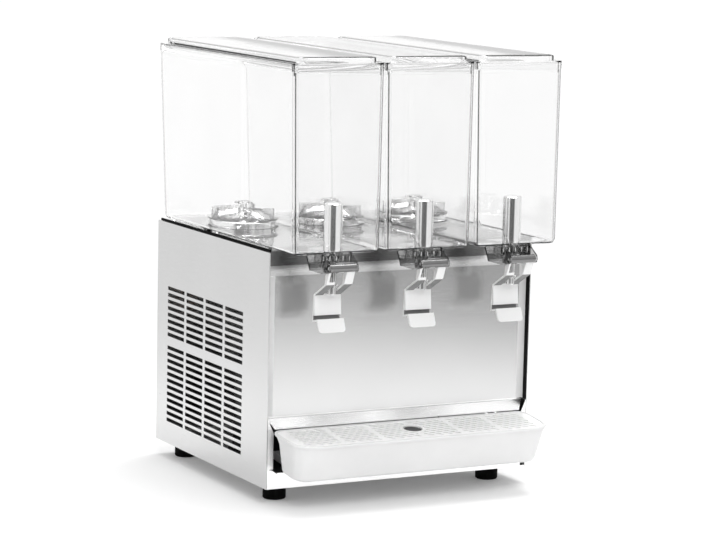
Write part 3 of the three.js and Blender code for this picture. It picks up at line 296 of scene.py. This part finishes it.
# Finishes of single pieces, or of some of their faces; some of them are painted light and shade, as
# noted
# Painted shade: clear plastic darkened for the housings below the bowls' floors
HOUSING_PAINTED_SHADE = clear_plastic("housing_painted_shade", 0.50, 0.60)
THIN_PLASTIC = clear_plastic("thin_plastic", 0.985, 1.0, bending=THIN_BENDING)
# Painted dark reflection: near-black clear plastic for lines at the bowls' front corners
CORNER_PAINTED_REFLECTION = clear_plastic("corner_painted_reflection", 0.04, 0.07)
BLADE_PLASTIC = clear_plastic("blade_plastic", 0.70, 0.80)
# Painted dark reflection: near-black clear plastic for the line along the front of each lid's top
CREST_PAINTED_REFLECTION = clear_plastic("crest_painted_reflection", 0.001, 0.003)
# Painted shade: dark steel for the strip at the top of the front panel, under the bowls
STRIP_PAINTED_SHADE = brushed_steel("strip_steel_painted_shade", STEEL_GRAIN, 0.30, 0.36)
FRONT_STEEL = brushed_steel("front_steel", STEEL_GRAIN, 0.62, 0.67, roughness=0.17)
SIDE_STEEL = brushed_steel("side_steel", STEEL_GRAIN, 0.60, 0.65)
# Painted highlight: pale steel for the band below that strip
BAND_PAINTED_HIGHLIGHT = brushed_steel("band_steel_painted_highlight", STEEL_GRAIN, 0.93, 0.98)
# Painted shade: the lever sleeves' steel, darker than steel is
SLEEVE_PAINTED_SHADE = brushed_steel("sleeve_steel_painted_shade", SLEEVE_GRAIN, 0.16, 0.24)
# Painted highlight: the drip ledge's steel, paler than the other steel
LEDGE_PAINTED_HIGHLIGHT = brushed_steel("ledge_steel_painted_highlight", LEDGE_GRAIN, 0.95, 0.99)
MARGIN_STEEL = moulded_plastic("margin_steel", grey(0.70), grey(0.76), roughness=0.6, grain=900.0)
# Painted shade: near-black on the side panels' inner faces and on the shelf below the ledge
INSIDE_PAINTED_SHADE = moulded_plastic("panel_inside_painted_shade", grey(0.004), grey(0.008),
                               roughness=0.7, grain=500.0, shine=0.1)
TRAY_WHITE = moulded_plastic("tray_white", grey(0.74), grey(0.78), roughness=0.3)
GRILLE_WHITE = moulded_plastic("grille_white", grey(0.90), grey(0.94), roughness=0.3)
# Painted shade: grey on the levers' sloped undersides and in their grooves
LEVER_PAINTED_SHADE = moulded_plastic("lever_painted_shade", grey(0.14), grey(0.18), roughness=0.35)

# Width of the broken edges of each finish, in metres
EDGES = {
    "brushed_steel": 0.0003,
    "polished_steel": 0.0003,
    "white_plastic": 0.0006,
    "black_plastic": 0.0006,
    "black_rubber": 0.0008,
    "black_enamel": 0.0006,
    "magnet": 0.0004,
}


# Shapes
def clean(body):
    """Points closer than the weld join, and flat neighbours become one face."""
    bmesh.ops.remove_doubles(body, verts=body.verts, dist=WELD)
    flat = math.radians(FLAT_ANGLE)
    bmesh.ops.dissolve_limit(body, angle_limit=flat, verts=body.verts, edges=body.edges)


def welded(name):
    """A node's mesh with welded points and clean flats."""
    body = bmesh.new()
    body.from_mesh(NODES[name].data)
    clean(body)
    return body


def prism(outline, low, high):
    """A closed outline of (y, z) points, run from one x to another."""
    body = bmesh.new()
    ends = [[body.verts.new((x, y, z)) for y, z in outline] for x in (low, high)]
    body.faces.new(ends[0])
    body.faces.new(reversed(ends[1]))
    for index, point in enumerate(ends[0]):
        after = (index + 1) % len(outline)
        body.faces.new((point, ends[1][index], ends[1][after], ends[0][after]))
    bmesh.ops.recalc_face_normals(body, faces=body.faces)
    return body


def turned(profile, steps, middle):
    """A closed profile of (radius, reach) points turned about the x axis through the middle."""
    body = bmesh.new()
    rings = []
    for radius, reach in profile:
        ring = []
        for step in range(steps):
            angle = 2 * math.pi * step / steps
            across, up = radius * math.cos(angle), radius * math.sin(angle)
            ring.append(body.verts.new(Vector((reach, across, up)) + middle))
        rings.append(ring)
    for index, ring in enumerate(rings):
        above = rings[(index + 1) % len(rings)]
        for step in range(steps):
            after = (step + 1) % steps
            body.faces.new((ring[step], ring[after], above[after], above[step]))
    bmesh.ops.recalc_face_normals(body, faces=body.faces)
    return body


def link(name, body):
    mesh = bpy.data.meshes.new(name)
    body.to_mesh(mesh)
    body.free()
    piece = bpy.data.objects.new(name, mesh)
    bpy.context.scene.collection.objects.link(piece)
    return piece


def carved(body, *cutters):
    """What is left of a body when the cutters are taken away."""
    piece = link("carved", body)
    tools = [link("cutter", cutter) for cutter in cutters]
    for tool in tools:
        cut = piece.modifiers.new("cut", "BOOLEAN")
        cut.operation = "DIFFERENCE"
        cut.solver = "EXACT"
        cut.object = tool
    bpy.context.view_layer.update()
    left = bmesh.new()
    left.from_object(piece, bpy.context.evaluated_depsgraph_get())
    for spent in (piece, *tools):
        mesh = spent.data
        bpy.data.objects.remove(spent)
        bpy.data.meshes.remove(mesh)
    clean(left)
    return left


def break_edges(body, width):
    sharp = [edge for edge in body.edges
             if len(edge.link_faces) == 2 and edge.calc_face_angle() > math.radians(SMOOTH_ANGLE)]
    bmesh.ops.bevel(body, geom=sharp, offset=width, segments=EDGE_STEPS, profile=EDGE_PROFILE,
                    affect="EDGES", clamp_overlap=True)


def smooth(piece):
    """Smooth shading that leaves flat faces flat beside their broken edges."""
    piece.data.shade_smooth()
    piece.data.set_sharp_from_angle(angle=math.radians(SMOOTH_ANGLE))
    weighted = piece.modifiers.new("weighted", "WEIGHTED_NORMAL")
    weighted.keep_sharp = True


# Pieces
def show(piece, *names, finish=None):
    """The piece takes the place and body of the named nodes, and their finish if no other is named."""
    slot = finish or SLOT_OF[names[0]]
    piece.data.materials.append(MATERIALS[slot])
    smooth(piece)
    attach(piece, BODY_OF[names[0]])
    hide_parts(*names)
    return piece


def dress(name, body=None):
    """A node, or the body made from it, with its edges broken and its finish on."""
    body = body or welded(name)
    width = EDGES.get(SLOT_OF[name])
    if width:
        break_edges(body, width)
    return show(link(name + "_look", body), name)


def second_finish(piece, material, chosen):
    """The faces that the test picks get another material."""
    piece.data.materials.append(material)
    index = len(piece.data.materials) - 1
    for face in piece.data.polygons:
        if chosen(face):
            face.material_index = index


# Clear bowls, lids and agitators: painted dark reflections as lines at the front corners and edges,
# and painted shade on the housings
BOWL_BOTTOM = 0.3998
FRONT_DEPTH = 0.03
CORNER_NORMAL = 0.62
CORNER_MARGIN = 0.0015
CORNER_SLOT = 1
CREST_DEPTH = 0.0022
CREST_FACING = 0.25
CREST_LEVEL = 0.95
BLADE_SLOPE = 0.3
BLADE_START = 0.016


def clear_bowl(place):
    """Clear bowl with a painted dark reflection as a line down the middle of its round front corners,
    and painted shade on its housing.
    """
    name = f"bowl_{place}"
    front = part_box(name)[0][1] + FRONT_DEPTH

    def at_corner(face):
        turned_out = face.normal.y < -CORNER_NORMAL and abs(face.normal.x) > CORNER_NORMAL
        middle = face.calc_center_median()
        return turned_out and middle.y < front and middle.z > BOWL_BOTTOM

    body = welded(name)
    body.normal_update()
    strips = [face for face in body.faces if at_corner(face)]
    bmesh.ops.inset_region(body, faces=strips, thickness=CORNER_MARGIN, use_even_offset=True)
    for face in strips:
        face.material_index = CORNER_SLOT
    bowl = dress(name, body)
    # Painted dark reflection: the corner strips get the near-black plastic
    bowl.data.materials.append(CORNER_PAINTED_REFLECTION)
    # Painted shade: the housing below the bowl's floor gets the darker plastic
    second_finish(bowl, HOUSING_PAINTED_SHADE, lambda face: face.center.z < BOWL_BOTTOM)


def thin_lid(place):
    """Lid of thinner plastic, with a painted dark reflection as a line along the front of its top."""
    name = f"lid_{place}"
    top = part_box(name)[1][2]

    def at_crest(face):
        sloped = face.normal.y < -CREST_FACING and face.normal.z < CREST_LEVEL
        return sloped and face.center.z > top - CREST_DEPTH

    lid = dress(name)
    lid.data.materials[0] = THIN_PLASTIC
    # Painted dark reflection along the lid's front crest
    second_finish(lid, CREST_PAINTED_REFLECTION, at_crest)


def agitator(place):
    """Clear disc whose blades and rim are a little darker."""
    name = f"agitator_{place}"
    low, high = [Vector(corner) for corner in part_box(name)]
    axis = (low + high) / 2

    def upright(face):
        reach = math.hypot(face.center.x - axis.x, face.center.y - axis.y)
        return abs(face.normal.z) < BLADE_SLOPE and reach > BLADE_START

    second_finish(dress(name), BLADE_PLASTIC, upright)


# Push levers: measured from the hinge pin, as (reach behind it, drop below it)
SLEEVE_RADIUS = 0.0064
SLEEVE_BORE = 0.0028
SLEEVE_HALF = 0.0220
SLEEVE_CHAMFER = 0.0005
SLEEVE_STEPS = 48
SLEEVE_GAP = 0.0001
ROD_CORE = 0.0001
HEAD_GAP_LEFT = 0.0186
HEAD_GAP_RIGHT = 0.0083
HEAD_GAP = ((-0.012, 0.0057), (0.019, 0.0057), (0.019, 0.0287), (0.009, 0.0232), (-0.012, 0.0116))
# Faces that get painted shade: the groove between paddle and lip, and the sloped plate's underside
GROOVE_TOP = 0.0780
GROOVE_FOOT = 0.0858
GROOVE_REACH = 0.0510
GROOVE_FACING = 0.5
SLOPE_NORMAL = Vector((0, -0.484, -0.875))
SLOPE_MATCH = 0.97


def pin_place(place):
    return Vector(JOINTS[f"{place}_lever_push"]["pos_m"])


def in_groove(face, pin):
    """Is this one of the faces between the paddle and the lip?"""
    drop = pin.z - face.center.z
    level = GROOVE_TOP < drop < GROOVE_FOOT and face.center.y < pin.y + GROOVE_REACH
    return level and abs(face.normal.x) < GROOVE_FACING and face.normal.z < GROOVE_FACING


def tap_lever(place):
    """White lever whose head is open in front of the stem, and the steel sleeve on its pin; both carry
    painted shade.
    """
    pin = pin_place(place)
    gap = prism([(pin.y + reach, pin.z - drop) for reach, drop in HEAD_GAP],
                pin.x - HEAD_GAP_LEFT, pin.x + HEAD_GAP_RIGHT)
    far = 2 * SLEEVE_HALF
    around = SLEEVE_RADIUS + SLEEVE_GAP
    rod = turned([(around, -far), (around, far), (ROD_CORE, far), (ROD_CORE, -far)], SLEEVE_STEPS, pin)
    name = f"tap_lever_{place}"
    lever = dress(name, carved(welded(name), gap, rod))
    # Painted shade: grey on the sloped plate's underside and in the groove between paddle and lip
    second_finish(lever, LEVER_PAINTED_SHADE, lambda face: face.normal.dot(SLOPE_NORMAL) > SLOPE_MATCH)
    second_finish(lever, LEVER_PAINTED_SHADE, lambda face: in_groove(face, pin))
    edge = SLEEVE_RADIUS - SLEEVE_CHAMFER
    end = SLEEVE_HALF - SLEEVE_CHAMFER
    sleeve = turned([(SLEEVE_BORE, -SLEEVE_HALF), (edge, -SLEEVE_HALF), (SLEEVE_RADIUS, -end),
                     (SLEEVE_RADIUS, end), (edge, SLEEVE_HALF), (SLEEVE_BORE, SLEEVE_HALF)],
                    SLEEVE_STEPS, pin)
    sleeve = show(link(f"lever_sleeve_{place}", sleeve), name, finish="brushed_steel")
    # Painted shade: the sleeve's steel is darker than steel is
    sleeve.data.materials[0] = SLEEVE_PAINTED_SHADE


def piston_spring(place):
    """Spring of the piston, which shortens as the piston rises; here it is dressed and given a mesh of
    its own.
    """
    name = f"piston_spring_{place}"
    spring = dress(name)
    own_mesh(spring)


# Cabinet
# Heights in metres where the front panel's painted shade strip and painted highlight band start
STRIP_FOOT = 0.3722
BAND_FOOT = 0.3568
SIDEWAYS = 0.9
MARGIN = 0.013
SHELF_TOP = 0.1185
SEAL_INSET = 0.0003
SEAL_WIDTH = 0.0030
SEAL_GAP = 0.0004
SEAL_END = 0.001
SEAL_BACK = 0.01
SEAL_BEVEL = 0.0008


def front_panel():
    """Brushed plate with satin margins, painted shade as a dark strip at its top and a painted
    highlight as a pale band below that.
    """
    body = welded("front_panel")
    low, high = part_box("front_panel")
    margins = (low[0] + MARGIN, high[0] - MARGIN)
    for x in margins:
        geometry = body.verts[:] + body.edges[:] + body.faces[:]
        bmesh.ops.bisect_plane(body, geom=geometry, plane_co=(x, 0, 0), plane_no=(1, 0, 0))
    panel = dress("front_panel", body)
    panel.data.materials[0] = FRONT_STEEL
    second_finish(panel, MARGIN_STEEL, lambda face: not margins[0] < face.center.x < margins[1])
    # Painted shade on the strip at the top, painted highlight on the band below it
    second_finish(panel, STRIP_PAINTED_SHADE, lambda face: face.center.z > STRIP_FOOT)
    second_finish(panel, BAND_PAINTED_HIGHLIGHT, lambda face: BAND_FOOT < face.center.z <= STRIP_FOOT)


def side_panel(side, inward):
    """Brushed outside, with painted shade as near-black on its inner faces."""
    panel = dress(f"{side}_side_panel")
    panel.data.materials[0] = SIDE_STEEL
    # Painted shade on the inner faces
    second_finish(panel, INSIDE_PAINTED_SHADE, lambda face: face.normal.x * inward > SIDEWAYS)


def drip_ledge():
    """Ledge whose steel is painted paler as a highlight, over a shelf in painted shade."""

    def on_shelf(face):
        return face.center.z < SHELF_TOP and face.normal.y > -SIDEWAYS

    ledge = dress("drip_ledge")
    # Painted highlight on the ledge, painted shade on the shelf below it
    ledge.data.materials[0] = LEDGE_PAINTED_HIGHLIGHT
    second_finish(ledge, INSIDE_PAINTED_SHADE, on_shelf)


def tray():
    """The tray's outside stands in more light than its grille, so the two whites differ."""
    dress("drip_tray").data.materials[0] = TRAY_WHITE
    dress("drip_tray_grille").data.materials[0] = GRILLE_WHITE


def edge_seals():
    """Black strips that close the slit between the outer bowls and the side panels; their black also
    stands in for the shade in that slit.
    """
    for side, wall in (("left", "left_side_panel"), ("right", "right_side_panel")):
        panel_low, panel_high = [Vector(corner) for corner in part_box(wall)]
        outer = panel_low.x if side == "left" else panel_high.x
        inward = 1 if side == "left" else -1
        x_range = sorted((outer + inward * SEAL_INSET, outer + inward * (SEAL_INSET + SEAL_WIDTH)))
        front, back = panel_low.y + SEAL_END, panel_high.y - SEAL_BACK
        bottom, top = panel_high.z + SEAL_GAP, BOWL_BOTTOM - SEAL_GAP
        outline = [(front, bottom), (back, bottom), (back, top), (front, top)]
        strip = prism(outline, *x_range)
        break_edges(strip, SEAL_BEVEL)
        show(link(f"edge_seal_{side}", strip), "top_deck", finish="black_rubber")


# Stage
def math_node(nodes, links, operation, first, second=None):
    node = nodes.new("ShaderNodeMath")
    node.operation = operation
    for socket, value in zip(node.inputs, (first, second)):
        if isinstance(value, (int, float)):
            socket.default_value = value
        elif value is not None:
            links.new(value, socket)
    return node.outputs["Value"]


def along(nodes, links, vector, direction):
    node = nodes.new("ShaderNodeVectorMath")
    node.operation = "DOT_PRODUCT"
    node.inputs[1].default_value = direction
    links.new(vector, node.inputs[0])
    return node.outputs["Value"]


def fade(nodes, links, value, start, end, low, high):
    node = nodes.new("ShaderNodeMapRange")
    node.interpolation_type = "SMOOTHSTEP"
    for socket, number in zip(("From Min", "From Max", "To Min", "To Max"), (start, end, low, high)):
        node.inputs[socket].default_value = number
    links.new(value, node.inputs["Value"])
    return node.outputs["Result"]


def ray_masks(nodes, links):
    """Which rays see the white backdrop, and which of them left a clear piece."""
    path = nodes.new("ShaderNodeLightPath")
    camera_ray = path.outputs["Is Camera Ray"]
    clear_ray = path.outputs["Is Transmission Ray"]
    seen = math_node(nodes, links, "MAXIMUM", camera_ray, path.outputs["Is Glossy Ray"])
    seen = math_node(nodes, links, "MAXIMUM", seen, clear_ray)
    return camera_ray, clear_ray, seen


def pick(nodes, links, choice, off, on):
    """The value for rays where the choice is 0, or the one for rays where it is 1."""
    mix = nodes.new("ShaderNodeMix")
    for name, value in (("Factor", choice), ("A", off), ("B", on)):
        if isinstance(value, (int, float)):
            mix.inputs[name].default_value = value
        else:
            links.new(value, mix.inputs[name])
    return mix.outputs["Result"]


def camera_side(nodes, links, bearing, reach):
    """Dim towards the camera, where the studio is unlit."""
    return fade(nodes, links, bearing, *reach, STUDIO_DARK, 1)


def dark_cards(nodes, links, bearing):
    """Black cards left and right of the backdrop, which draw the edges of clear pieces."""
    start = fade(nodes, links, bearing, *CARD_INNER, 1, 0)
    end = fade(nodes, links, bearing, *CARD_OUTER, 0, 1)
    card = math_node(nodes, links, "MULTIPLY", start, end)
    beyond = fade(nodes, links, card, 0, 1, 1, CARD_DARK)
    return math_node(nodes, links, "MINIMUM", beyond, camera_side(nodes, links, bearing, CAMERA_FADE))


def floor():
    """White paper below and behind the object, and the dim studio floor past its edges."""
    bpy.ops.mesh.primitive_plane_add(size=FLOOR_SIZE, location=(0, 0, 0))
    plane = bpy.context.object
    plane.name = "floor"
    material, nodes, links = new_material("floor")
    shader = nodes["Principled BSDF"]
    shader.inputs["Roughness"].default_value = FLOOR_ROUGHNESS
    shader.inputs["Specular IOR Level"].default_value = FLOOR_SHINE
    place = texture_space(nodes, links)
    reach = nodes.new("ShaderNodeVectorMath")
    reach.operation = "LENGTH"
    links.new(place, reach.inputs[0])
    distance = reach.outputs["Value"]
    ahead = along(nodes, links, place, VIEW_AHEAD)
    side = math_node(nodes, links, "ABSOLUTE", along(nodes, links, place, VIEW_RIGHT))
    bearing = math_node(nodes, links, "DIVIDE", ahead, distance)
    camera_ray, clear_ray, seen = ray_masks(nodes, links)

    beside = fade(nodes, links, side, PAPER_HALF - PAPER_EDGE, PAPER_HALF + PAPER_EDGE, 1, STUDIO_DIM)
    behind = fade(nodes, links, bearing, *SIDE_FADE, 0, 1)
    beside = math_node(nodes, links, "MAXIMUM", beside, behind)
    before = fade(nodes, links, ahead, -PAPER_FRONT - PAPER_EDGE, -PAPER_FRONT + PAPER_EDGE, 0, 1)
    before = math_node(nodes, links, "MAXIMUM", before, camera_side(nodes, links, bearing, GLOSS_FADE))
    paper = math_node(nodes, links, "MINIMUM", beside, before)
    near = fade(nodes, links, distance, SHADOW_REACH, FAR_REACH, 1, 0)
    past_clear = dark_cards(nodes, links, bearing)
    past_clear = math_node(nodes, links, "MAXIMUM", past_clear, near)
    paper = pick(nodes, links, clear_ray, paper, past_clear)
    lit = math_node(nodes, links, "MAXIMUM", paper, camera_ray)

    far = math_node(nodes, links, "SUBTRACT", 1, near)
    glowing = math_node(nodes, links, "MULTIPLY", seen, far)
    matt = math_node(nodes, links, "MULTIPLY", lit, math_node(nodes, links, "SUBTRACT", 1, glowing))
    tone = ramp(nodes, links, matt, grey(0), grey(FLOOR_COLOR), start=0, end=1)
    links.new(tone, shader.inputs["Base Color"])
    lift = pick(nodes, links, near, 1.0, FLOOR_LIFT)
    glow = math_node(nodes, links, "MULTIPLY", math_node(nodes, links, "MULTIPLY", lit, seen), lift)
    shader.inputs["Emission Color"].default_value = (1, 1, 1, 1)
    links.new(glow, shader.inputs["Emission Strength"])
    plane.data.materials.append(material)


def world():
    """Soft even light, and a white backdrop for what the camera, gloss and clear pieces see."""
    room = bpy.data.worlds.new("studio")
    bpy.context.scene.world = room
    room.use_nodes = True
    nodes = room.node_tree.nodes
    links = room.node_tree.links
    place = nodes.new("ShaderNodeTexCoord")
    toward = along(nodes, links, place.outputs["Generated"], VIEW_AHEAD)
    height = along(nodes, links, place.outputs["Generated"], (0, 0, 1))
    above = fade(nodes, links, height, 0, DIM_HEIGHT, 0, 1)
    camera_ray, clear_ray, seen = ray_masks(nodes, links)
    gloss = math_node(nodes, links, "MAXIMUM", camera_side(nodes, links, toward, GLOSS_FADE), above)
    clear = math_node(nodes, links, "MAXIMUM", dark_cards(nodes, links, toward), above)
    dim = pick(nodes, links, clear_ray, gloss, clear)
    shown = math_node(nodes, links, "MAXIMUM", dim, camera_ray)
    white = math_node(nodes, links, "MULTIPLY", shown, seen)
    soft = math_node(nodes, links, "MULTIPLY", math_node(nodes, links, "SUBTRACT", 1, seen), AMBIENT)
    backdrop = nodes["Background"]
    backdrop.inputs["Color"].default_value = (1, 1, 1, 1)
    links.new(math_node(nodes, links, "ADD", white, soft), backdrop.inputs["Strength"])


def lamp(name, place, target, power):
    data = bpy.data.lights.new(name, "AREA")
    data.shape = "SQUARE"
    data.size = LAMP_SIZE
    data.energy = power
    light = bpy.data.objects.new(name, data)
    light.location = place
    aim = Vector(target) - Vector(place)
    light.rotation_euler = aim.to_track_quat("-Z", "Y").to_euler()
    bpy.context.scene.collection.objects.link(light)


def camera():
    data = bpy.data.cameras.new("camera")
    data.lens = CAMERA_LENS
    data.clip_end = CLIP_END
    view = bpy.data.objects.new("camera", data)
    turn = Matrix.Rotation(math.radians(-CAMERA_YAW), 4, "Z")
    tilt = Matrix.Rotation(math.radians(90 + CAMERA_PITCH), 4, "X")
    roll = Matrix.Rotation(math.radians(CAMERA_ROLL), 4, "Z")
    view.matrix_world = Matrix.Translation(CAMERA_PLACE) @ turn @ tilt @ roll
    bpy.context.scene.collection.objects.link(view)
    bpy.context.scene.camera = view


# Nodes with makers of their own: one for each bowl's place, and single ones
BY_PLACE = {
    "bowl": clear_bowl,
    "lid": thin_lid,
    "agitator": agitator,
    "tap_lever": tap_lever,
    "piston_spring": piston_spring,
}
SINGLE = {
    "front_panel", "left_side_panel", "right_side_panel",
    "drip_ledge", "drip_tray", "drip_tray_grille",
}


def dress_all():
    made = SINGLE | {f"{kind}_{place}" for kind in BY_PLACE for place in PLACES}
    for name in sorted(set(NODES) - made):
        dress(name)
    front_panel()
    side_panel("left", 1)
    side_panel("right", -1)
    drip_ledge()
    tray()
    edge_seals()
    for place in PLACES:
        for make in BY_PLACE.values():
            make(place)


dress_all()
floor()
world()
lamp("key", KEY_PLACE, KEY_TARGET, KEY_POWER)
lamp("overhead", OVERHEAD_PLACE, OVERHEAD_TARGET, OVERHEAD_POWER)
camera()
bpy.context.scene.view_settings.view_transform = "Standard"
bpy.context.scene.cycles.max_bounces = BOUNCES
bpy.context.scene.cycles.transmission_bounces = BOUNCES
bpy.context.scene.cycles.transparent_max_bounces = BOUNCES
